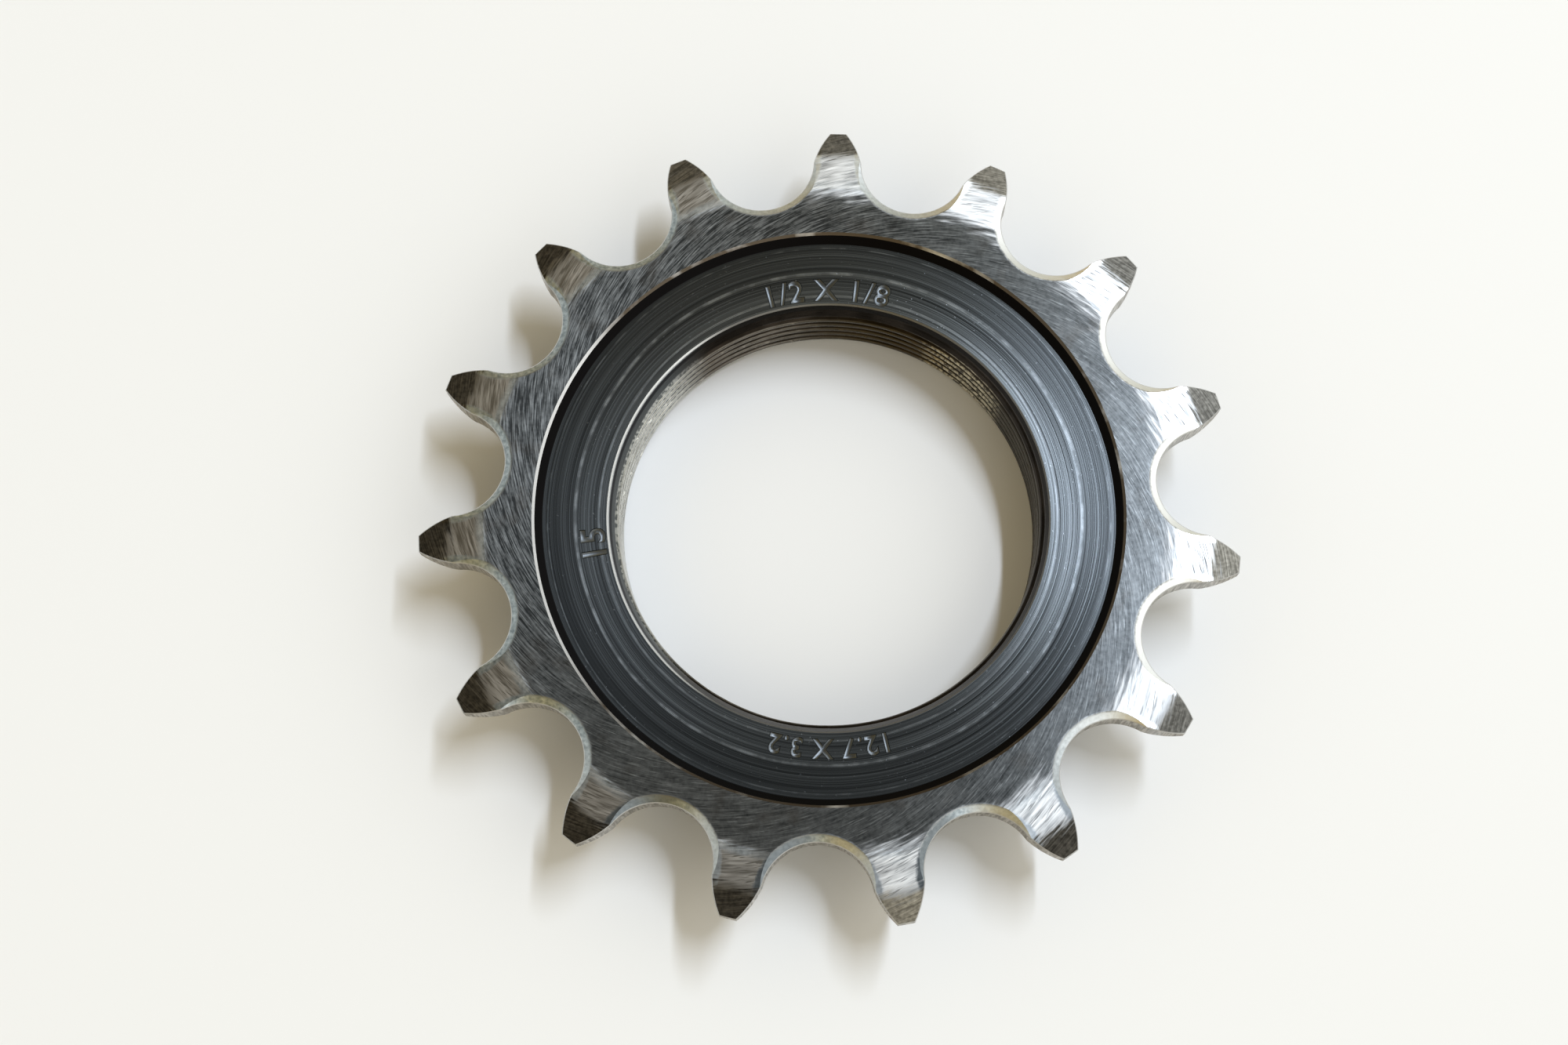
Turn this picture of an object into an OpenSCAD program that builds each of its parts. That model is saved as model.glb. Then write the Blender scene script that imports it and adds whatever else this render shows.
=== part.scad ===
// Screw-on track cog, a one-piece sprocket for a half-inch bicycle chain.
// Millimetres. The bore runs along Z, the hub face lies on Z = 0 and the lockring side faces up.

/* [Teeth] */
// Number of teeth
tooth_count = 15; // [15:1:20]
// Chain pitch, roller to roller
chain_pitch = 12.7; // [12.6:0.05:12.8]
// Height of the tooth tips above the pitch circle
addendum = 2.33; // [2:0.01:2.5]
// Width of the flat at a tooth tip
tip_width = 1.33; // [1:0.01:1.6]
// Radius of the rounded upper flanks
topping_r = 8.07; // [7.6:0.01:9]
// How far below the tips the upper flanks have their centres
topping_drop = 4.68; // [4.4:0.01:5]
// Radius of the roller seat between two teeth
seat_r = 4.42; // [4.1:0.01:4.6]
// How far outside the pitch circle the seats have their centres
seat_shift = 0.16; // [0:0.01:0.3]
// Width of the chamfer along the edge of a seat
seat_chamfer = 0.63; // [0.3:0.01:0.8]
// Depth of the chamfer along the edge of a seat
seat_chamfer_depth = 0.35; // [0.2:0.01:0.5]

/* [Plate] */
// Thickness of the toothed plate
plate_t = 3; // [2.8:0.05:3.1]
// How far inside the pitch circle the tooth sides start to thin
bevel_start = 3.04; // [2.6:0.01:3.2]
// How far outside the pitch circle the tooth sides turn steeper
bevel_break = 0.06; // [0:0.01:0.6]
// Thinning of each side where it turns steeper
break_drop = 0.35; // [0.2:0.01:0.5]
// Thinning of each side at the tips
tip_drop = 0.9; // [0.7:0.01:1.1]

/* [Lockring recess] */
// Radius of the recess at its rim
recess_r = 23.46; // [22.9:0.01:23.5]
// Broken edge of the rim
recess_edge = 0.2; // [0.1:0.01:0.3]
// How far the recess wall leans in
recess_lean = 0.53; // [0.2:0.01:0.8]
// Depth of the recess
recess_depth = 0.9; // [0.6:0.01:1.2]

/* [Hub thread] */
// Diameter over the thread crests
bore_d = 33.84; // [33.6:0.01:34.2]
// Width of the lead-in on the lockring side
lead_in = 0.78; // [0.4:0.01:1]
// Depth of the lead-in on the lockring side
lead_in_depth = 1.45; // [1:0.01:1.6]
// Broken edge of the bore at the hub face
bore_edge = 0.4; // [0.2:0.01:0.6]

/* [Boss] */
// Radius of the boss that meets the hub
boss_r = 21.8; // [20.5:0.05:22.2]
// Height of the boss behind the plate
boss_h = 5; // [4:0.1:6]
// Broken edge of the boss
boss_edge = 0.5; // [0.3:0.05:0.8]
// Fillet between boss and plate
boss_fillet = 0.8; // [0.4:0.05:1.2]

/* [Hidden] */
tooth_step = 360 / tooth_count;
first_tooth = 90;
pitch_r = chain_pitch / 2 / sin(180 / tooth_count);
tip_r = pitch_r + addendum;
seat_centre = pitch_r + seat_shift;
base_r = pitch_r - 1;
topping_u = tip_r - topping_drop;
topping_v = sqrt(topping_r * topping_r - topping_drop * topping_drop) - tip_width / 2;
bevel_r = pitch_r - bevel_start;
break_r = pitch_r + bevel_break;
bore_r = bore_d / 2;
top = boss_h + plate_t;
web_top = top - recess_depth;
past = 1;
chamfer_slope = seat_chamfer / seat_chamfer_depth;
steel = [0.36, 0.36, 0.37];
$fn = 180;

// One tooth above the base circle, along +X
module tooth_flanks() {
    intersection() {
        translate([topping_u, topping_v]) circle(r = topping_r);
        translate([topping_u, -topping_v]) circle(r = topping_r);
    }
}

// The toothed outline seen along the axis
module outline() {
    difference() {
        intersection() {
            circle(r = tip_r);
            union() {
                circle(r = base_r);
                for (i = [0 : tooth_count - 1]) {
                    rotate(first_tooth + i * tooth_step) tooth_flanks();
                }
            }
        }
        for (i = [0 : tooth_count - 1]) {
            rotate(first_tooth + (i + 0.5) * tooth_step) translate([seat_centre, 0]) circle(r = seat_r);
        }
    }
}

// Half of the turned section: boss, plate with thinned rim, recess and bore
module section() {
    difference() {
        polygon([
            [bore_r + bore_edge, 0],
            [boss_r - boss_edge, 0],
            [boss_r, boss_edge],
            [boss_r, boss_h - boss_fillet],
            [boss_r + boss_fillet, boss_h],
            [bevel_r, boss_h],
            [break_r, boss_h + break_drop],
            [tip_r + past, boss_h + tip_drop + past * (tip_drop - break_drop) / (tip_r - break_r)],
            [tip_r + past, top - tip_drop - past * (tip_drop - break_drop) / (tip_r - break_r)],
            [break_r, top - break_drop],
            [bevel_r, top],
            [recess_r + recess_edge, top],
            [recess_r, top - recess_edge],
            [recess_r - recess_lean, web_top],
            [bore_r + lead_in, web_top],
            [bore_r, web_top - lead_in_depth],
            [bore_r, bore_edge]
        ]);
        translate([boss_r + boss_fillet, boss_h - boss_fillet]) circle(r = boss_fillet);
    }
}

// The cone that breaks the edge of one seat, opening upwards from its tip at Z = 0
module seat_cone() {
    cylinder(
        h = seat_chamfer_depth + past,
        r1 = seat_r,
        r2 = seat_r + chamfer_slope * (seat_chamfer_depth + past)
    );
}

module track_cog() {
    color(steel) difference() {
        intersection() {
            rotate_extrude() section();
            translate([0, 0, -past]) linear_extrude(height = top + 2 * past) outline();
        }
        for (i = [0 : tooth_count - 1]) {
            rotate(first_tooth + (i + 0.5) * tooth_step) translate([seat_centre, 0, 0]) {
                translate([0, 0, top - seat_chamfer_depth]) seat_cone();
                translate([0, 0, boss_h + seat_chamfer_depth]) mirror([0, 0, 1]) seat_cone();
            }
        }
    }
}

track_cog();
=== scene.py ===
import math

import bmesh
import bpy
import numpy as np
from mathutils import Euler, Matrix, Vector


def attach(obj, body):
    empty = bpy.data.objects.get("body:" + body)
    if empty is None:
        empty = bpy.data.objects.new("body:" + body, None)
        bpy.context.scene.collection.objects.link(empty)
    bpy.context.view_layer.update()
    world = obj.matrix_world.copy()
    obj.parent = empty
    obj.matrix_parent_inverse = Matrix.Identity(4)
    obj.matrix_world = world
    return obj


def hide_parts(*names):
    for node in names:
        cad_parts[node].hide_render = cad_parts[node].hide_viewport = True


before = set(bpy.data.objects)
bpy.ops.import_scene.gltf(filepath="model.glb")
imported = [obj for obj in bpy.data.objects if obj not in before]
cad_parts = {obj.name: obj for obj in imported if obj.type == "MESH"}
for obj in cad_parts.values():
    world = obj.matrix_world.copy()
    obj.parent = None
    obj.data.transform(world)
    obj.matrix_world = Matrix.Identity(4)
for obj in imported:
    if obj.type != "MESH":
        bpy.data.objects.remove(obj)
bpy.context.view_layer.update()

MM = 0.001

# Teeth, as the part's source has them; lengths in millimetres
TEETH = 15
FIRST_TOOTH = math.pi / 2
CHAIN_PITCH = 12.7
ADDENDUM = 2.33
TIP_WIDTH = 1.33
FLANK_R = 8.07
FLANK_DROP = 4.68
SEAT_R = 4.42
SEAT_SHIFT = 0.16
BAND_WIDTH = 0.63
BAND_DEEP = 0.35
BEVEL_START = 3.04
BEVEL_BREAK = 0.06
BREAK_DEEP = 0.35
TIP_DEEP = 0.9

# What follows from them, with one tooth's middle along +X
STEP = 2 * math.pi / TEETH
HALF = STEP / 2
PITCH_R = CHAIN_PITCH / 2 / math.sin(HALF)
TIP_R = PITCH_R + ADDENDUM
SEAT_C = PITCH_R + SEAT_SHIFT
BAND_R = SEAT_R + BAND_WIDTH
BEVEL_R = PITCH_R - BEVEL_START
BREAK_R = PITCH_R + BEVEL_BREAK
SEAT_MIDDLE = np.array([SEAT_C * math.cos(HALF), SEAT_C * math.sin(HALF)])
FLANK_MIDDLE = np.array([TIP_R - FLANK_DROP, TIP_WIDTH / 2 - math.sqrt(FLANK_R**2 - FLANK_DROP**2)])

# Plate, recess, bore and boss
BOSS_H = 5.0
TOP = 8.0
MID = (BOSS_H + TOP) / 2
RIM_R = 23.46
RIM_EDGE = 0.2
RECESS_R = 22.93
WEB_Z = 7.1
BORE_R = 16.92
BORE_EDGE = 0.4
LEAD_R = 17.70
LEAD_Z = 5.65
BOSS_R = 21.8
BOSS_EDGE = 0.5
FILLET = 0.8

# The thread and the small broken edges, which the solid does not have
THREAD_PITCH = 25.4 / 24
THREAD_DEEP = 0.46
EDGE = 0.07
LIP = 0.13
# Shares of half a thread pitch: the flat of the crest, then the slope down to the root
CREST_SHARE = 0.16
SLOPE_SHARE = 0.70

# Faces along each stretch of half a tooth's outline, from the middle of the gap to the middle of the tip
N_GAP, N_SEAT, N_LOW, N_MID, N_TIP, N_TOP = 12, 6, 2, 2, 6, 6
# Where in the outline the side, its steeper part and the tip's corner come
AT_SIDE = N_GAP + N_SEAT + N_LOW
AT_BREAK = AT_SIDE + N_MID
AT_CORNER = AT_BREAK + N_TIP
COLUMNS = np.linspace(HALF, 0, N_GAP + N_TOP + 1)
THREAD_ROWS = 84
FILLET_POINTS = 6
# Radii between which the seat passes into the flank, and those between which the side reaches it
SEAT_END = (29.0, 30.4)
SIDE_END = (29.4, BREAK_R)
# Rounds of halving that find such a radius
HALVINGS = 60
# Points closer than a step of this grid are one: steps per millimetre
GRID = 1e4
# How close the sectors' borders lie to be welded, in metres
WELD = 2e-6

# Pressed characters: bevel and spread as shares of their height, spacing against the letters' own,
# then half the length of the cutting prism and the weld in millimetres
STAMP_BEVEL = 0.040
STAMP_SPREAD = 0.008
STAMP_SPACING = 1.12
STAMP_REACH = 0.5
STAMP_WELD = 1e-5
# Words, direction of their middle in degrees, height, radius of their feet and depth
STAMPS = (
    ("15", 189.5, 2.7, 18.0, 0.14),
    ("1/2 X 1/8", 92, 2.5, 18.1, 0.12),
    ("12.7 X 3.2", -88, 2.1, 18.3, 0.10),
)

# What kind of surface a face is
PLATE, SIDE, TIP, BAND, CORNER, FLANK, RIM, WALL, WEB, THREAD, FACE, BOSS, STAMP = range(13)
# How far two of these numbers may lie apart and still be the same
SAME_KIND = 0.3
# Faces of one kind that meet at more than this keep a sharp edge
SHARP = math.radians(50)

# Colours of the ground steel; a pair is mixed from its first colour to its second
GROUND = (0.049, 0.053, 0.055), (0.348, 0.366, 0.372)
STAIN = (0.10, 0.085, 0.07)
# The polished tooth sides: painted shade on the left half, painted light on the right half
POLISH_IN_SHADE = (0.142, 0.132, 0.115), (0.48, 0.46, 0.43)
POLISH_IN_LIGHT = (0.28, 0.284, 0.288), (0.98, 0.985, 0.985)
DARK_SCRATCH = (0.08, 0.08, 0.08)
BLACK_TIP = (0.030, 0.027, 0.022), (0.140, 0.126, 0.104)
# Grey tips: painted highlight over the right half and on one tooth at the top
GREY_TIP = (0.070, 0.066, 0.057), (0.280, 0.265, 0.235)
BARE_TIP = (0.17, 0.155, 0.125), (0.58, 0.54, 0.45)
HAZE = (0.25, 0.295, 0.33), (0.62, 0.69, 0.74)
# Painted shade and painted glint on the broken edges round the gaps
HAZE_PAINTED_SHADE = (0.13, 0.143, 0.15)
EDGE_GLINT_PAINT = (0.90, 0.91, 0.91)
BARE_CORNER = (0.60, 0.60, 0.60)
BARE_FLANK = (0.20, 0.18, 0.15), (0.60, 0.57, 0.52)
# The rim and the lip: a painted glint on the left, rust and dull steel elsewhere
RIM_GLINT_TO_RUST = (0.90, 0.90, 0.92), (0.13, 0.105, 0.08)
LIP_GLINT_TO_DULL = (0.90, 0.91, 0.92), (0.20, 0.195, 0.185)

# Colours of the blackened steel
OXIDE = (0.041, 0.045, 0.048), (0.322, 0.354, 0.373)
RUBBED_RING = (0.53, 0.57, 0.60)
SPECK = (0.42, 0.445, 0.465)
# The recess wall, painted black as its shade
RECESS_WALL_SHADOW = (0.010, 0.009, 0.009)
STAMP_FOOT_TO_TOP = (0.13, 0.14, 0.148), (0.045, 0.047, 0.05)
UNDERSIDE = (0.26, 0.25, 0.245)

# Colours of the thread
ROOT = (0.014, 0.011, 0.008), (0.034, 0.027, 0.021)
# Crests, lighter towards the left as painted highlight
RIDGE = (0.092, 0.082, 0.068), (0.190, 0.172, 0.148)
# A painted gold glint
GOLD_GLINT = (0.56, 0.49, 0.35)
LEAD_IN = (0.020, 0.018, 0.016)
# The side facing the lamp: silver from wear, with painted highlight and painted sparkle
SILVER = (0.10, 0.107, 0.108), (0.68, 0.68, 0.655)
PAINTED_SPARKLE = (0.75, 0.75, 0.72)
# The rubbed side, which faces the lamp, towards its lip: a grey band, a band of painted shade and a
# painted glint at the edge; the heights where each stretch begins and is full, and its colour
LIP_SHADE_AND_GLINT = (
    (5.95, 6.15, (0.105, 0.114, 0.118)),
    (6.48, 6.62, (0.035, 0.036, 0.04)),
    (6.82, 6.92, (0.52, 0.54, 0.56)),
)

# Grinding strokes: their turn from the circle, the radius of their true length, half their seam's width
GRIND_SLANT = math.radians(19)
STROKE_R = 26.0
STROKE_SEAM = 1.2
# The stretched gloss lies across the marks that cause it
QUARTER_TURN = 0.25
# Radii of the places that use has rubbed
POLISH_R = 27.35
WEAR_R = 20.3
INNER_WEAR_R = 18.35
OUTER_WEAR_R = 22.55

# The table, in metres, and its drop below the hub face in millimetres
TABLE_HALF = 1.5
TABLE_DROP = 0.02
TABLE_COLOUR = (0.900, 0.893, 0.882, 1)

# The strip lamp: height in metres, then its place and its sides as shares of that height
STRIP_HEIGHT = 2.4
STRIP_PLACE = (0.445, 0.45, 1.0)
STRIP_SIDES = (0.06, 0.70)
STRIP_POWER = 57.0
STRIP_COLOUR = (0.78, 0.87, 1.0)

# The camera: place, lens and sensor in millimetres, turn in degrees, nearest distance in metres
CAMERA_PLACE = (1.2313, -42.3284, 168.1366)
CAMERA_TURN = (14.46319, 1.220542, 1.800126)
CAMERA_LENS = 47.79
CAMERA_SENSOR = 36
CAMERA_NEAR = 0.01


def polar(r, a):
    """The point at radius r and angle a."""
    return np.array([r * math.cos(a), r * math.sin(a)])


def solve(f, a, b):
    """The root of f between a and b, by halving."""
    fa = f(a)
    for _ in range(HALVINGS):
        m = (a + b) / 2
        fm = f(m)
        if (fm < 0) == (fa < 0):
            a, fa = m, fm
        else:
            b = m
    return (a + b) / 2


def thinning(r):
    """How far the tooth side has dropped at this radius."""
    if r <= BEVEL_R:
        return 0.0
    if r <= BREAK_R:
        return BREAK_DEEP * (r - BEVEL_R) / (BREAK_R - BEVEL_R)
    return BREAK_DEEP + (TIP_DEEP - BREAK_DEEP) * (r - BREAK_R) / (TIP_R - BREAK_R)


def upper(p):
    """A point of the upper face over p: the plate, the thinned sides or the seat's broken edge."""
    cone = BAND_DEEP * (BAND_R - np.linalg.norm(p - SEAT_MIDDLE)) / (BAND_R - SEAT_R)
    return (p[0], p[1], TOP - max(0.0, cone, thinning(np.linalg.norm(p))))


def lowered(p):
    """The same point on the other face of the plate."""
    return (p[0], p[1], 2 * MID - p[2])


def seat_point(a, r):
    """A point at angle a round the seat's centre, counted from the middle of the gap."""
    return SEAT_MIDDLE + polar(r, HALF + math.pi - a)


def seat_angle(p):
    """The angle that seat_point takes to reach p."""
    d = p - SEAT_MIDDLE
    return HALF + math.pi - math.atan2(d[1], d[0]) % (2 * math.pi)


def flank_angle(r, flank_r):
    """How far from the tooth's middle the upper flank passes at radius r."""
    away = np.linalg.norm(FLANK_MIDDLE)
    c = (r * r + away * away - flank_r**2) / (2 * r * away)
    return math.atan2(FLANK_MIDDLE[1], FLANK_MIDDLE[0]) + math.acos(max(-1, min(1, c)))


def seat_side(r, d):
    """The angle from the tooth's middle of the point at radius r that is d from the seat's centre."""
    return HALF - math.acos(max(-1, min(1, (r * r + SEAT_C**2 - d * d) / (2 * r * SEAT_C))))


def band_reach(r):
    """How far from the seat's centre its broken edge meets the tooth side at radius r."""
    return BAND_R - (BAND_R - SEAT_R) * thinning(r) / BAND_DEEP


def crease_angle():
    """The angle round the seat at which the plate ends and the tooth side begins."""
    return seat_angle(polar(BEVEL_R, seat_side(BEVEL_R, BAND_R)))


def outline_points(inset, side_r):
    """Half of one tooth's outline, from the middle of the gap to the middle of the tip."""
    seat_r, flank_r, tip_r = SEAT_R + inset, FLANK_R - inset, TIP_R - inset
    join_r = solve(lambda r: flank_angle(r, flank_r) - seat_side(r, seat_r), *SEAT_END)
    join = polar(join_r, flank_angle(join_r, flank_r))
    crease = crease_angle()
    pts = [seat_point(a, seat_r) for a in np.linspace(0, crease, N_GAP + 1)]
    pts += [seat_point(a, seat_r) for a in np.linspace(crease, seat_angle(join), N_SEAT + 1)[1:]]
    for r0, r1, n in ((join_r, side_r, N_LOW), (side_r, BREAK_R, N_MID), (BREAK_R, tip_r, N_TIP)):
        pts += [polar(r, flank_angle(r, flank_r)) for r in np.linspace(r0, r1, n + 1)[1:]]
    corner = flank_angle(tip_r, flank_r)
    pts += [polar(tip_r, a) for a in np.linspace(corner, 0, N_TOP + 1)[1:]]
    return pts


def strips(rows, finish):
    """The faces between neighbouring rows of points, each as (finish, four corners)."""
    faces = []
    for a, b in zip(rows, rows[1:]):
        for i in range(len(a) - 1):
            faces.append((finish, (a[i], a[i + 1], b[i + 1], b[i])))
    return faces


def between(a, b, steps):
    """Rows of points that lead from row a to row b."""
    return [[p + (q - p) * k / steps for p, q in zip(a, b)] for k in range(steps + 1)]


def rows_across(edge):
    """Rows of one side of the tooth, each at its own radius from the flank to the middle."""
    rows = []
    for p in edge:
        r, a = np.linalg.norm(p), math.atan2(p[1], p[0])
        rows.append([polar(r, a * t) for t in np.linspace(1, 0, N_TOP + 1)])
    return rows


def tooth_faces():
    """Half a tooth with its share of the plate: both faces, the broken edges and the flank."""
    side_r = solve(lambda r: flank_angle(r, FLANK_R - EDGE) - seat_side(r, band_reach(r)), *SIDE_END)
    ins = outline_points(EDGE, side_r)
    out = outline_points(0, side_r)
    scallop = [seat_point(a, BAND_R) for a in np.linspace(0, crease_angle(), N_GAP + 1)]
    lengths = np.cumsum([0] + [np.linalg.norm(ins[i + 1] - ins[i]) for i in range(N_GAP, AT_SIDE)])
    rising = [
        polar(r, seat_side(r, band_reach(r)))
        for r in BEVEL_R + (side_r - BEVEL_R) * lengths[1:] / lengths[-1]
    ]
    crease = scallop + rising
    crease[-1] = ins[AT_SIDE]
    crown = [polar(BEVEL_R, t * seat_side(BEVEL_R, BAND_R)) for t in np.linspace(1, 0, N_TOP + 1)]
    plate_edge = scallop + crown[1:]
    tooth = [
        (between(crease, ins[: AT_SIDE + 1], steps=3), BAND),
        (rows_across(crease[N_GAP:] + ins[AT_SIDE + 1 : AT_BREAK + 1]), SIDE),
        (rows_across(ins[AT_BREAK : AT_CORNER + 1]), TIP),
    ]
    by_rim = [polar(RIM_R + RIM_EDGE, a) for a in COLUMNS]
    by_boss = [polar(BOSS_R + FILLET, a) for a in COLUMNS]
    faces = []
    for rows, finish in [(between(by_rim, plate_edge, steps=4), PLATE), *tooth]:
        faces += strips([[upper(p) for p in row] for row in rows], finish)
    for rows, finish in [(between(by_boss, plate_edge, steps=4), PLATE), *tooth]:
        faces += strips([[lowered(upper(p)) for p in row] for row in rows], finish)
    inner = [upper(p) for p in ins]
    outer = [np.array((o[0], o[1], q[2] - EDGE)) for o, q in zip(out, inner)]
    under = [np.array(lowered(p)) for p in outer]
    faces += strips([inner, outer], CORNER)
    faces += strips(between(outer, under, steps=4), FLANK)
    faces += strips([under, [lowered(p) for p in inner]], CORNER)
    return faces


def stretch(a, b, steps):
    """Points of a straight stretch of the turned section, each as (radius, height)."""
    return [
        (a[0] + (b[0] - a[0]) * k / steps, a[1] + (b[1] - a[1]) * k / steps) for k in range(steps + 1)
    ]


def turned_faces():
    """Rim, recess, bore, hub face and boss over half a tooth's angle."""
    lip_r = BORE_R + (LEAD_R - BORE_R) * (WEB_Z - LIP - LEAD_Z) / (WEB_Z - LEAD_Z)
    rim_top, rim_foot = (RIM_R + RIM_EDGE, TOP), (RIM_R, TOP - RIM_EDGE)
    web_start, web_end = (RECESS_R, WEB_Z), (lip_r + LIP, WEB_Z)
    bore_top, bore_foot = (lip_r, WEB_Z - LIP), (BORE_R + BORE_EDGE, 0)
    face_end = (BOSS_R - BOSS_EDGE, 0)
    boss_foot, boss_top = (BOSS_R, BOSS_EDGE), (BOSS_R, BOSS_H - FILLET)
    fillet = [
        (BOSS_R + FILLET - FILLET * math.cos(t), BOSS_H - FILLET + FILLET * math.sin(t))
        for t in np.linspace(0, math.pi / 2, FILLET_POINTS)
    ]
    section = [
        ([rim_top, rim_foot], RIM),
        (stretch(rim_foot, web_start, steps=2), WALL),
        (stretch(web_start, web_end, steps=4), WEB),
        ([web_end, bore_top], CORNER),
        (stretch(bore_top, bore_foot, steps=THREAD_ROWS), THREAD),
        (stretch(bore_foot, face_end, steps=3), FACE),
        (stretch(face_end, boss_foot, steps=1), CORNER),
        (stretch(boss_foot, boss_top, steps=3), BOSS),
        (fillet, BOSS),
    ]
    faces = []
    for line, finish in section:
        faces += strips([[(*polar(r, a), z) for a in COLUMNS] for r, z in line], finish)
    return faces


def sector_mesh():
    """One tooth with its share of plate, web, bore and boss, middle along +X."""
    verts, index, polys, finishes, bore = [], {}, [], [], []

    def vertex(p, inside):
        key = tuple(round(c * GRID) for c in p)
        if key not in index:
            index[key] = len(verts)
            verts.append([c * MM for c in p])
            bore.append(0.0)
        if inside:
            bore[index[key]] = 1.0
        return index[key]

    for finish, quad in tooth_faces() + turned_faces():
        for sign in (1, -1):
            ring = [vertex((x, sign * y, z), finish == THREAD) for x, y, z in quad]
            ring = [v for i, v in enumerate(ring) if v != ring[i - 1]]
            if len(set(ring)) > 2:
                polys.append(ring if sign > 0 else ring[::-1])
                finishes.append(finish)
    mesh = bpy.data.meshes.new("cog_sector")
    mesh.from_pydata(verts, [], polys)
    mesh.attributes.new("finish", "INT", "FACE").data.foreach_set("value", finishes)
    mesh.attributes.new("bore", "FLOAT", "POINT").data.foreach_set("value", bore)
    return mesh


class Nodes:
    """A node tree with one way to add any node."""

    def __init__(self, tree):
        self.tree = tree

    def add(self, kind, settings=None, **sockets):
        """A new node. Sockets go by name, with _ for a space, or by number, as i0."""
        n = self.tree.nodes.new(kind)
        for k, v in (settings or {}).items():
            setattr(n, k, v)
        for k, v in sockets.items():
            numbered = k[1:].isdigit()
            self.put(n.inputs[int(k[1:])] if numbered else n.inputs[k.replace("_", " ")], v)
        return n

    def put(self, socket, v):
        """Link a socket to v, or set it to v where that is a plain value."""
        if isinstance(v, Val):
            v = v.out
        if isinstance(v, bpy.types.NodeSocket):
            self.tree.links.new(v, socket)
        else:
            socket.default_value = v

    def val(self, kind, settings=None, **sockets):
        return Val(self, self.add(kind, settings, **sockets).outputs[0])

    def math(self, op, *args, **settings):
        sockets = {f"i{i}": a for i, a in enumerate(args)}
        return self.val("ShaderNodeMath", {"operation": op, **settings}, **sockets)

    def mix(self, f, a, b):
        """Colour a where f is 0 and b where it is 1."""
        n = self.add("ShaderNodeMix", {"data_type": "RGBA"})
        self.put(n.inputs[0], f)
        for socket, v in ((n.inputs[6], a), (n.inputs[7], b)):
            self.put(socket, (*v, 1) if isinstance(v, tuple) else v)
        return n.outputs[2]


class Val:
    """A socket that can be used in an expression."""

    def __init__(self, nodes, out):
        self.nodes, self.out = nodes, out

    def __add__(self, o):
        return self.nodes.math("ADD", self, o)

    def __sub__(self, o):
        return self.nodes.math("SUBTRACT", self, o)

    def __rsub__(self, o):
        return self.nodes.math("SUBTRACT", o, self)

    def __mul__(self, o):
        return self.nodes.math("MULTIPLY", self, o)

    def __truediv__(self, o):
        return self.nodes.math("DIVIDE", self, o)

    def __rtruediv__(self, o):
        return self.nodes.math("DIVIDE", o, self)

    def __neg__(self):
        return self.nodes.math("MULTIPLY", self, -1.0)

    __radd__, __rmul__ = __add__, __mul__

    def clip(self):
        return self.nodes.math("ADD", self, 0.0, use_clamp=True)

    def most(self, o):
        return self.nodes.math("MAXIMUM", self, o)

    def rise(self, a, b):
        """0 at a, 1 at b and smooth between; a may be the larger."""
        v = self.nodes.val(
            "ShaderNodeMapRange",
            {"interpolation_type": "SMOOTHSTEP"},
            Value=self, From_Min=min(a, b), From_Max=max(a, b),
        )
        return v if a <= b else 1 - v


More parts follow.
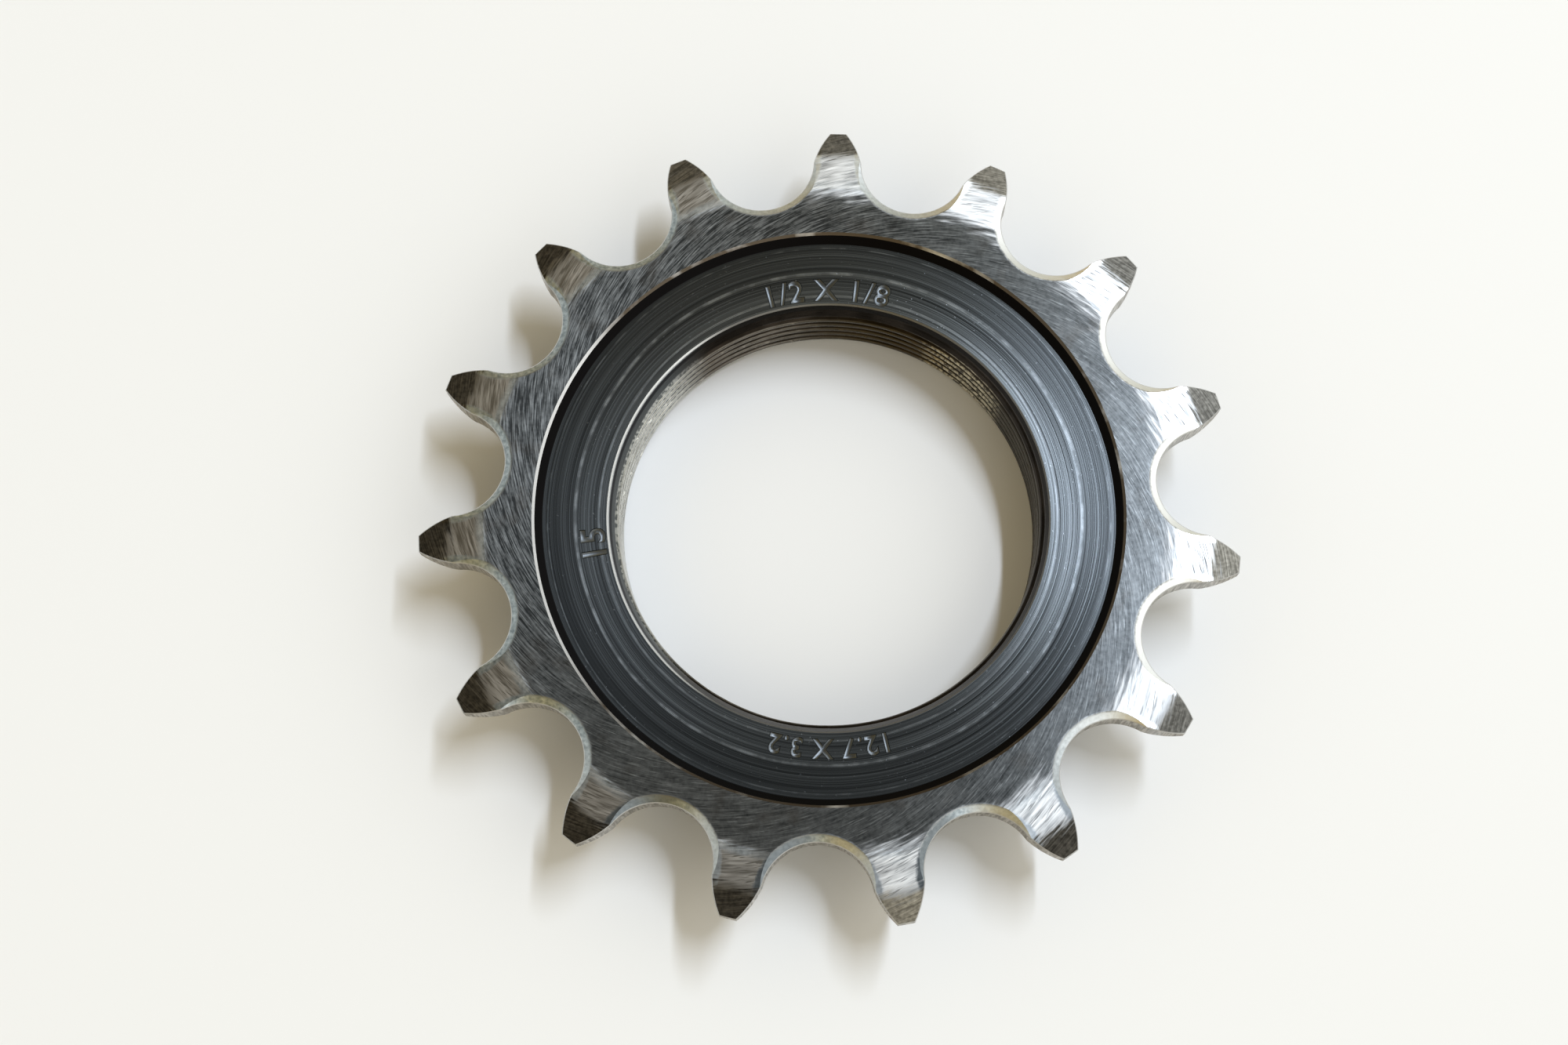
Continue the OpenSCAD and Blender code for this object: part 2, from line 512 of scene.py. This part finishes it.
def cog_tree(finish_materials):
    """Geometry nodes: turn one sector into the whole cog and cut the thread into its bore."""
    tree = bpy.data.node_groups.new("cog_from_sector", "GeometryNodeTree")
    face = tree.interface
    face.new_socket("Geometry", in_out="INPUT", socket_type="NodeSocketGeometry")
    face.new_socket("Geometry", in_out="OUTPUT", socket_type="NodeSocketGeometry")
    sizes = {
        "Teeth": ("NodeSocketInt", TEETH),
        "First tooth": ("NodeSocketFloat", FIRST_TOOTH),
        "Crest radius": ("NodeSocketFloat", BORE_R * MM),
        "Thread pitch": ("NodeSocketFloat", THREAD_PITCH * MM),
        "Thread depth": ("NodeSocketFloat", THREAD_DEEP * MM),
        "Lead-in foot": ("NodeSocketFloat", LEAD_Z * MM),
        "Lead-in slope": ("NodeSocketFloat", (LEAD_R - BORE_R) / (WEB_Z - LEAD_Z)),
        "Hub edge": ("NodeSocketFloat", BORE_EDGE * MM),
    }
    idents = {}
    for name, (kind, value) in sizes.items():
        idents[face.new_socket(name, in_out="INPUT", socket_type=kind).identifier] = value
    g = Nodes(tree)
    given = g.add("NodeGroupInput")
    size = {o.name: Val(g, o) for o in given.outputs}
    points = g.add("GeometryNodePoints", Count=size["Teeth"])
    turn = g.val("GeometryNodeInputIndex") * (2 * math.pi) / size["Teeth"] + size["First tooth"]
    spin = g.add("ShaderNodeCombineXYZ", Z=turn)
    ring = g.add(
        "GeometryNodeInstanceOnPoints",
        Points=points.outputs[0], Instance=given.outputs[0], Rotation=spin.outputs[0],
    )
    whole = g.add("GeometryNodeRealizeInstances", Geometry=ring.outputs[0])
    closed = g.add("GeometryNodeMergeByDistance", Geometry=whole.outputs[0], Distance=WELD)

    at = g.add("ShaderNodeSeparateXYZ", Vector=g.add("GeometryNodeInputPosition").outputs[0])
    x, y, z = (Val(g, o) for o in at.outputs)
    angle = g.math("ARCTAN2", y, x)
    # A hundred whole turns keep the sum above zero
    phase = g.math("FRACT", z / size["Thread pitch"] - angle / (2 * math.pi) + 100.0)
    from_crest = g.math("ABSOLUTE", phase * 2.0 - 1.0)
    groove = ((from_crest - CREST_SHARE) / SLOPE_SHARE).clip() * (z / size["Hub edge"]).clip()
    wall = size["Crest radius"] + groove * size["Thread depth"]
    lead = size["Crest radius"] + (z - size["Lead-in foot"]) * size["Lead-in slope"]
    hub = size["Crest radius"] + (size["Hub edge"] - z)
    r = wall.most(lead).most(hub)
    place = g.add(
        "ShaderNodeCombineXYZ", X=g.math("COSINE", angle) * r, Y=g.math("SINE", angle) * r, Z=z
    )
    in_bore = g.val("GeometryNodeInputNamedAttribute", {"data_type": "FLOAT"}, Name="bore")
    cut = g.add(
        "GeometryNodeSetPosition",
        Geometry=closed.outputs[0],
        Selection=g.math("GREATER_THAN", in_bore, 0.5),
        Position=place.outputs[0],
    )
    geo = cut.outputs[0]
    number = g.val("GeometryNodeInputNamedAttribute", {"data_type": "INT"}, Name="finish")
    for material, kinds in finish_materials:
        chosen = None
        for k in kinds:
            one = g.math("COMPARE", number, float(k), SAME_KIND)
            chosen = one if chosen is None else chosen + one
        painted = g.add("GeometryNodeSetMaterial", Geometry=geo, Selection=chosen, Material=material)
        geo = painted.outputs[0]
    out = g.add("NodeGroupOutput")
    tree.links.new(geo, out.inputs[0])
    return tree, idents


class Finish(Nodes):
    """A steel finish on the cog's own coordinates: millimetres, radius and angle about the bore."""

    def __init__(self, name):
        self.material = bpy.data.materials.new(name)
        self.material.use_nodes = True
        super().__init__(self.material.node_tree)
        self.tree.nodes.remove(self.tree.nodes["Principled BSDF"])
        place = self.add("ShaderNodeTexCoord").outputs["Object"]
        scaled = self.add("ShaderNodeVectorMath", {"operation": "SCALE"}, i0=place, Scale=1 / MM)
        self.place = scaled.outputs[0]
        parts = self.add("ShaderNodeSeparateXYZ", Vector=self.place)
        self.x, self.y, self.z = (Val(self, o) for o in parts.outputs)
        self.r = self.math("SQRT", self.x * self.x + self.y * self.y)
        kind = self.add("ShaderNodeAttribute", {"attribute_name": "finish"})
        self.kind = Val(self, kind.outputs["Fac"])

    def vec(self, x, y, z):
        return self.add("ShaderNodeCombineXYZ", X=x, Y=y, Z=z).outputs[0]

    def noise(self, at, scale=1.0, detail=2.0):
        return self.val("ShaderNodeTexNoise", Vector=at, Scale=scale, Detail=detail)

    def is_kind(self, number):
        return self.math("COMPARE", self.kind, float(number), SAME_KIND)

    def toward(self, degrees, none=0.9755, full=0.985):
        """1 in this direction from the bore, counted from +X; none and full are cosines."""
        a = math.radians(degrees)
        return ((self.x * math.cos(a) + self.y * math.sin(a)) / self.r).rise(none, full)

    def rings(self, across, along, seed, detail=2.0):
        """Turning marks: fine across the radius, long round the axis, with no seam."""
        way = (self.x / self.r * along, self.y / self.r * along)
        return self.noise(self.vec(self.r * across + seed, *way), detail=detail)

    def strokes(self, across, along, slant, seed, detail=2.0):
        """Grinding strokes that cross the circle at a slant. Two copies hide each other's seam."""
        c, s = math.cos(slant), math.sin(slant)
        both = []
        for sign in (1.0, -1.0):
            way = self.math("ARCTAN2", self.y * sign, self.x * sign) * STROKE_R
            lines = self.vec(
                (self.r * c + way * s) * across, (way * c - self.r * s) * along, seed + sign
            )
            both.append(self.noise(lines, detail=detail))
        right = self.x.rise(-STROKE_SEAM, STROKE_SEAM)
        return both[0] * right + both[1] * (1 - right)

    def metal(self, colour, rough, normal, drawn=0.0, slant=0.0):
        """Drawn is how far the marks stretch the gloss, slant their turn from the circle."""
        return self.add(
            "ShaderNodeBsdfPrincipled",
            Base_Color=colour, Roughness=rough, Metallic=1.0, Normal=normal,
            Anisotropic=drawn, Anisotropic_Rotation=QUARTER_TURN + slant / (2 * math.pi),
        ).outputs[0]

    def bump(self, height, deep):
        return self.add("ShaderNodeBump", Height=height, Distance=deep * MM, Strength=1.0).outputs[0]

    def done(self, shader):
        self.put(self.tree.nodes["Material Output"].inputs["Surface"], shader)
        return self.material


def ground_steel():
    """The toothed plate: slanted grinding strokes, polished sides, dark tips and broken edges, with
    light and shade painted on the right half, the edges, the rim and the lip.
    """
    f = Finish("ground_steel")
    fine = f.strokes(across=9.0, along=0.45, slant=GRIND_SLANT, seed=3.1, detail=4.0)
    hair = f.strokes(across=11.0, along=0.75, slant=GRIND_SLANT * 1.15, seed=5.7, detail=1.0)
    rub = f.strokes(across=4.5, along=0.45, slant=GRIND_SLANT * 0.8, seed=12.6, detail=3.0)
    slow = f.strokes(across=1.6, along=0.15, slant=GRIND_SLANT, seed=8.4)
    cloud = f.noise(f.place, scale=0.35, detail=3.0)
    speck = f.noise(f.place, scale=3.2, detail=2.0)
    scratch = hair.rise(0.60, 0.72)
    grain = ((fine - 0.35) * 1.6 + (speck - 0.5)).clip()

    # Place on the tooth: -0.5 to 0.5 across it, then the distance from the nearest seat's centre.
    # 0.75 puts a tooth's middle at 0, and ten whole teeth keep the sum above zero.
    fold = f.math("FRACT", (f.math("ARCTAN2", f.y, f.x) / STEP + 0.75 + 10.0)) - 0.5
    off = HALF - f.math("ABSOLUTE", fold) * STEP
    seat = f.math("SQRT", f.r * f.r + SEAT_C**2 - f.r * f.math("COSINE", off) * (2 * SEAT_C))
    gap_side = f.math("SINE", fold * (2 * math.pi))

    # Where each look lies, from 0 to 1, with lengths in millimetres
    # The right half, where light is painted: lighter polished sides with a wider, softer edge, and
    # greyer tips
    painted_lit_half = (f.x + f.y * 0.15).rise(-9.0, 3.0)
    past_plate = f.r - POLISH_R + (rub - 0.5) * (painted_lit_half * 1.8 + 1.0)
    side = (past_plate / (painted_lit_half * 2.2 + 1.0) + painted_lit_half * 0.15).rise(-0.22, 0.40)
    shoulder = past_plate.rise(-0.10, 0.20) * past_plate.rise(1.00, 0.30)
    tip = (f.r + (rub - 0.5) * 3.0 + (cloud - 0.5) * 1.0).rise(30.1, 31.0)
    band = (seat + (speck - 0.5) * 0.30).rise(5.18, 4.86)
    # Stronger strokes and a slightly darker plate towards the upper left
    upper_left = (f.y * 0.8 - f.x).rise(4.0, 20.0)
    glare = f.x.rise(16.0, 22.0) * f.y.rise(-10.0, -4.0)
    low_gaps = (-f.y).rise(17.0, 24.0)
    corner = f.is_kind(CORNER)
    flank = f.is_kind(FLANK)
    rim = f.is_kind(RIM)
    lip = corner * f.r.rise(18.6, 18.4) * f.z.rise(6.5, 6.8)

    # The plate as ground
    light = (fine - 0.5) * (upper_left * 1.9 + 0.8) + (slow - 0.5) * 0.5 + scratch * 0.40
    light = light + (speck - 0.5) * 0.5 + 0.33 - upper_left * 0.07
    plate = f.mix(light.clip(), *GROUND)
    plate = f.mix((cloud - 0.55).clip() * 2.0, plate, STAIN)

    # The sides of the teeth, polished by the chain; painted light on the right half and painted shade on
    # the left
    worn = ((rub - 0.32) * 2.0 - scratch * 0.9).clip()
    streaked = ((rub - 0.27) * 2.2 - scratch * 0.8).clip()
    lit_polish = f.mix(streaked, *POLISH_IN_LIGHT)
    lit_polish = f.mix(scratch * glare * 0.85, lit_polish, DARK_SCRATCH)
    polished = f.mix(painted_lit_half, f.mix(worn, *POLISH_IN_SHADE), lit_polish)

    # The tips, black but for some teeth; greyer over the right half as painted highlight
    greyed = (painted_lit_half * (1 - f.toward(306)) + f.toward(114) * 0.8).clip()
    bared = (f.toward(282) + (f.toward(354) + f.toward(66)) * 0.4).clip()
    dark_tip = f.mix(greyed, f.mix(grain, *BLACK_TIP), f.mix(grain, *GREY_TIP))
    dark_tip = f.mix(bared, dark_tip, f.mix(grain, *BARE_TIP))

    # The broken edges round the gaps, with a painted highlight on the right, at the top and on one face
    # of each gap at the bottom, and painted shade on the other face there
    lit = low_gaps * (-gap_side).rise(0.1, 0.9) * 0.4
    lit = lit + f.y.rise(19.0, 26.0) * f.x.rise(-16.0, -2.0) * 0.45
    lit = lit.most((f.x + f.y * 0.35).rise(5.0, 25.0))
    hazy = f.mix(((speck - 0.3) * 2.0).clip(), *HAZE)
    hazy = f.mix(low_gaps * gap_side.rise(-0.2, 0.8) * 0.8, hazy, HAZE_PAINTED_SHADE)
    broken = f.mix(lit.clip(), hazy, EDGE_GLINT_PAINT)

    # The flanks, the rim of the recess and the lip of the bore; rim and lip carry a painted glint on the
    # left
    wall_lines = f.noise(f.vec(f.x * 5.0, f.y * 5.0, f.z * 0.5))
    wall = f.mix(wall_lines.rise(0.3, 0.75), *BARE_FLANK)
    # Rust on the rim except on the left, where a glint is painted
    rust = (cloud - 0.20).clip() * 4.0 * f.x.rise(-21.0, -14.0)
    rim_glint_and_rust = f.mix(rust.clip(), *RIM_GLINT_TO_RUST)
    # The lip: a painted glint on the left, dull steel elsewhere
    lip_glint = f.mix(f.x.rise(-12.5, -8.0), *LIP_GLINT_TO_DULL)

    # A lighter line along the crease of plate and side: painted highlight
    used = f.mix(shoulder * 0.5, polished, broken)
    used = f.mix(tip, used, dark_tip)
    used = f.mix(band * (1 - tip), used, broken)
    used = f.mix(corner * 0.8, used, BARE_CORNER)
    used = f.mix(flank, used, wall)
    used = f.mix(rim, used, rim_glint_and_rust)
    used = f.mix(lip, used, lip_glint)
    used_rough = 0.44 - band * 0.10 + side * (1 - band) * 0.07 + (rub - 0.5) * 0.2 * side
    normal = f.bump(fine * 0.6 + hair * 0.4 + rub * side, deep=0.006)
    as_ground = f.metal(plate, 0.36 + (fine - 0.5) * 0.14, normal, drawn=0.56, slant=GRIND_SLANT)
    as_used = f.metal(used, used_rough, normal)
    used_here = side.most(band).most(corner).most(flank).most(rim)
    both = f.add("ShaderNodeMixShader", Fac=used_here, i1=as_ground, i2=as_used)
    return f.done(both.outputs[0])


def blackened_steel():
    """The recess, stamps, boss and hub face: blue-black, with turning marks and rubbed rings, a painted
    sheen towards the right and painted shade on and by the recess wall.
    """
    f = Finish("blackened_steel")
    marks = f.rings(across=12.0, along=0.6, seed=2.0, detail=3.0)
    bands = f.rings(across=1.8, along=0.9, seed=9.0)
    speck = f.noise(f.place, scale=4.5, detail=1.0).rise(0.70, 0.78)
    patchy = f.noise(f.place, scale=0.7, detail=3.0).rise(0.42, 0.66)
    wander = (f.noise(f.vec(f.x / f.r, f.y / f.r, 4.0), scale=1.6) - 0.5) * 0.4

    def rubbed(r, width):
        return f.math("ABSOLUTE", f.r - r + wander).rise(width, width * 0.1)

    # Where each look lies, from 0 to 1, with lengths in millimetres
    rings = rubbed(WEAR_R, 0.20) * (patchy * 0.7 + 0.3)
    rings = rings.most(rubbed(INNER_WEAR_R, 0.13) * (patchy * 0.4 + 0.4))
    rings = rings.most(rubbed(OUTER_WEAR_R, 0.10) * patchy * 0.3)
    top = f.z.rise(6.9, 7.05)
    inner = f.r.rise(20.7, 19.9)
    # Painted sheen towards the right: a lighter web with stronger marks
    right = f.x.rise(4.0, 18.0)
    by_bore = f.r.rise(19.0, 18.4)
    # Painted shade beside the recess wall
    wall_shade = f.r.rise(21.3, 22.3)
    wall = f.is_kind(WALL)
    stamped = f.is_kind(STAMP)
    under = f.is_kind(FACE).most(f.is_kind(BOSS))

    light = (marks - 0.5) * (inner * (right * 0.9 + 0.7) + right * 0.8 + 0.7) + (bands - 0.5) * 0.4
    light = light + inner * (right * 0.08 + 0.11) + by_bore * 0.13 - wall_shade * (right * 0.09 + 0.03)
    light = (light + right * 0.14 + 0.23).clip()
    colour = f.mix(light, *OXIDE)
    colour = f.mix((rings * top).clip(), colour, RUBBED_RING)
    colour = f.mix(speck * (inner * 0.4 + 0.3), colour, SPECK)
    # The recess wall painted black for the shade on it
    colour = f.mix(wall, colour, RECESS_WALL_SHADOW)
    pressed_steel = f.mix(f.z.rise(WEB_Z - 0.09, WEB_Z - 0.02), *STAMP_FOOT_TO_TOP)
    colour = f.mix(stamped, colour, pressed_steel)
    colour = f.mix(under * 0.6, colour, UNDERSIDE)
    rough = 0.26 + (marks - 0.5) * 0.15 + wall * 0.25 + stamped * 0.16
    normal = f.bump(marks * 0.8 + speck * 0.4, deep=0.006)
    return f.done(f.metal(colour, rough, normal, drawn=0.53))


def thread_steel():
    """The lead-in and the thread: black roots, brown crests, silver on one side from wear and painted
    highlight, a painted gold glint in one patch.
    """
    f = Finish("thread_steel")
    cloud = f.noise(f.place, scale=0.30, detail=3.0)
    grain = f.noise(f.vec(f.x * 1.2, f.y * 1.2, f.z * 9.0), detail=3.0)
    sparkle = f.noise(f.place, scale=3.5)
    # Silver on the side facing the lamp: wear with painted highlight
    silver = (-f.x).rise(10.0, 14.2)
    # A painted gold glint round 50 degrees
    gold_glint = f.toward(50, none=0.960, full=0.996) * sparkle.rise(0.34, 0.60)
    crest = (f.r + (grain - 0.5) * 0.06).rise(17.09, 16.98)
    lead = f.r.rise(17.40, 17.44)
    # Crests lighter towards the left: painted highlight
    ridge = f.mix((-f.x).rise(0.0, 6.0), *RIDGE)
    ridge = f.mix(gold_glint, ridge, GOLD_GLINT)
    oily = f.mix(crest, f.mix(cloud.rise(0.35, 0.65), *ROOT), ridge)
    oily = f.mix(lead, oily, LEAD_IN)
    # Painted sparkle and painted bands at the lip on the silver side
    rubbed = f.mix(crest, *SILVER)
    rubbed = f.mix(sparkle.rise(0.42, 0.60) * 0.35, rubbed, PAINTED_SPARKLE)
    for begins, full, tint in LIP_SHADE_AND_GLINT:
        rubbed = f.mix(f.z.rise(begins, full), rubbed, tint)
    colour = f.mix(silver, oily, rubbed)
    rough = 0.30 + (grain - 0.5) * 0.25
    return f.done(f.metal(colour, rough, f.bump(grain, deep=0.010)))


def plain_mesh(obj, name):
    """The object's evaluated mesh as a new plain object."""
    mesh = bpy.data.meshes.new_from_object(obj.evaluated_get(bpy.context.evaluated_depsgraph_get()))
    mesh.name = name
    new = bpy.data.objects.new(name, mesh)
    bpy.context.scene.collection.objects.link(new)
    return new


def whole_cog(finish_materials):
    """The closed cog without its marks."""
    sector = bpy.data.objects.new("cog_sector", sector_mesh())
    bpy.context.scene.collection.objects.link(sector)
    tree, idents = cog_tree(finish_materials)
    mod = sector.modifiers.new("cog", "NODES")
    mod.node_group = tree
    for ident, value in idents.items():
        mod[ident] = value
    whole = plain_mesh(sector, "whole_cog")
    sector.modifiers.clear()
    bpy.data.objects.remove(sector)
    bm = bmesh.new()
    bm.from_mesh(whole.data)
    bmesh.ops.recalc_face_normals(bm, faces=bm.faces)
    bm.to_mesh(whole.data)
    bm.free()
    return whole


def stamp(words, degrees, size, radius, deep):
    """Characters to press into the web, their feet on a circle and their tops outwards."""
    middle = math.radians(degrees)
    bevel = STAMP_BEVEL * size
    curve = bpy.data.curves.new("stamp", "FONT")
    curve.body = words
    curve.size = size
    curve.align_x = "CENTER"
    curve.extrude = STAMP_REACH
    curve.space_character = STAMP_SPACING
    curve.bevel_depth = bevel
    curve.bevel_resolution = 0
    curve.offset = STAMP_SPREAD * size
    curve.resolution_u = 3
    text = bpy.data.objects.new("stamp", curve)
    bpy.context.scene.collection.objects.link(text)
    bpy.context.view_layer.update()
    piece = plain_mesh(text, "stamp_cut")
    bpy.data.objects.remove(text)
    bm = bmesh.new()
    bm.from_mesh(piece.data)
    bmesh.ops.remove_doubles(bm, verts=bm.verts, dist=STAMP_WELD)
    bmesh.ops.recalc_face_normals(bm, faces=bm.faces)
    for v in bm.verts:
        a = middle - v.co.x / (radius + 0.5 * size)
        z = WEB_Z - deep + v.co.z + STAMP_REACH + bevel
        v.co = Vector((*polar(radius + v.co.y, a), z)) * MM
    bm.to_mesh(piece.data)
    bm.free()
    piece.data.materials.clear()
    finish = piece.data.attributes.new("finish", "INT", "FACE")
    finish.data.foreach_set("value", [STAMP] * len(piece.data.polygons))
    return piece


def pressed(cog, cuts):
    """The cog with the cuts taken out of it."""
    for cut in cuts:
        mod = cog.modifiers.new("stamp", "BOOLEAN")
        mod.operation = "DIFFERENCE"
        mod.solver = "MANIFOLD"
        mod.object = cut
    bpy.context.view_layer.update()
    marked = plain_mesh(cog, "track_cog_steel")
    for o in [cog, *cuts]:
        bpy.data.objects.remove(o)
    return marked


def crisp(obj, finish_materials):
    """Give each face its finish; smooth within a kind, sharp where two kinds or steep faces meet."""
    bm = bmesh.new()
    bm.from_mesh(obj.data)
    finish = bm.faces.layers.int.get("finish")
    slots = {kind: i for i, (_, kinds) in enumerate(finish_materials) for kind in kinds}
    for f in bm.faces:
        f.smooth = True
        f.material_index = slots[f[finish]]
    for e in bm.edges:
        if len(e.link_faces) == 2:
            a, b = e.link_faces
            alike = a[finish] == b[finish] or {a[finish], b[finish]} == {SIDE, TIP}
            e.smooth = alike and e.calc_face_angle(0) < SHARP
    obj.data.materials.clear()
    for material, _ in finish_materials:
        obj.data.materials.append(material)
    bm.to_mesh(obj.data)
    bm.free()


def make_table():
    """A plain pale table, just clear of the hub face."""
    mesh = bpy.data.meshes.new("table_top")
    s = TABLE_HALF
    z = -TABLE_DROP * MM
    mesh.from_pydata([(-s, -s, z), (s, -s, z), (s, s, z), (-s, s, z)], [], [(0, 1, 2, 3)])
    table = bpy.data.objects.new("table_top", mesh)
    bpy.context.scene.collection.objects.link(table)
    pale = bpy.data.materials.new("pale_table")
    pale.use_nodes = True
    shader = pale.node_tree.nodes["Principled BSDF"]
    shader.inputs["Base Color"].default_value = TABLE_COLOUR
    shader.inputs["Roughness"].default_value = 0.55
    shader.inputs["Specular IOR Level"].default_value = 0.25
    mesh.materials.append(pale)


def make_room():
    """A room that is dim overhead, tan on the left and glows from the right."""
    world = bpy.data.worlds.new("studio")
    bpy.context.scene.world = world
    world.use_nodes = True
    w = Nodes(world.node_tree)
    way = w.add("ShaderNodeTexCoord").outputs["Generated"]
    parts = w.add("ShaderNodeSeparateXYZ", Vector=way)
    x, y, z = (Val(w, o) for o in parts.outputs)

    back, front = (0.70, 0.69, 0.55), (0.94, 0.90, 0.72)
    tan = (0.53, 0.39, 0.15)
    low_wall, floor = (0.30, 0.28, 0.22), (0.80, 0.79, 0.74)
    overhead = (0.10, 0.102, 0.10)
    left_glow = (0.68, 0.71, 0.68)
    right_glow = (1.34, 1.35, 1.30)

    room = w.mix((-y).rise(-0.1, 0.5), back, front)
    room = w.mix((-x).rise(-0.45, 0.25), room, tan)
    room = w.mix(z.rise(0.30, 0.06), room, low_wall)
    room = w.mix(z.rise(0.05, 0.03), room, floor)
    room = w.mix(z.rise(0.80, 0.94), room, overhead)
    low = z.rise(0.68, 0.58) * z.rise(0.10, 0.30)
    room = w.mix(low * (-x).rise(0.50, 0.70), room, left_glow)
    # The right, turned 15 degrees to the front
    to_right = x * 0.966 - y * 0.259
    glow = to_right.rise(0.22, 0.50) * z.rise(0.91, 0.80) * z.rise(0.15, 0.40)
    room = w.mix(glow, room, right_glow)
    w.put(world.node_tree.nodes["Background"].inputs["Color"], room)
    bpy.context.scene.view_settings.view_transform = "Standard"


def make_lamp():
    """One long, narrow lamp overhead."""
    data = bpy.data.lights.new("strip", "AREA")
    data.shape = "RECTANGLE"
    data.size, data.size_y = (side * STRIP_HEIGHT for side in STRIP_SIDES)
    data.energy = STRIP_POWER
    data.color = STRIP_COLOUR
    strip = bpy.data.objects.new("strip", data)
    strip.location = Vector(STRIP_PLACE) * STRIP_HEIGHT
    bpy.context.scene.collection.objects.link(strip)


def make_camera():
    """The photo's camera, found by fitting tooth tips, rim, web and bore edges."""
    data = bpy.data.cameras.new("photo_camera")
    data.sensor_width = CAMERA_SENSOR
    data.sensor_fit = "HORIZONTAL"
    data.lens = CAMERA_LENS
    data.clip_start = CAMERA_NEAR
    cam = bpy.data.objects.new("photo_camera", data)
    turn = Euler([math.radians(a) for a in CAMERA_TURN]).to_matrix().to_4x4()
    cam.matrix_world = Matrix.Translation(Vector(CAMERA_PLACE) * MM) @ turn
    bpy.context.scene.collection.objects.link(cam)
    bpy.context.scene.camera = cam


finish_materials = [
    (ground_steel(), (PLATE, SIDE, TIP, BAND, CORNER, FLANK, RIM)),
    (blackened_steel(), (WALL, WEB, FACE, BOSS, STAMP)),
    (thread_steel(), (THREAD,)),
]
cog = pressed(whole_cog(finish_materials), [stamp(*mark) for mark in STAMPS])
crisp(cog, finish_materials)
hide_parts("track_cog")
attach(cog, "root")

make_table()
make_room()
make_lamp()
make_camera()
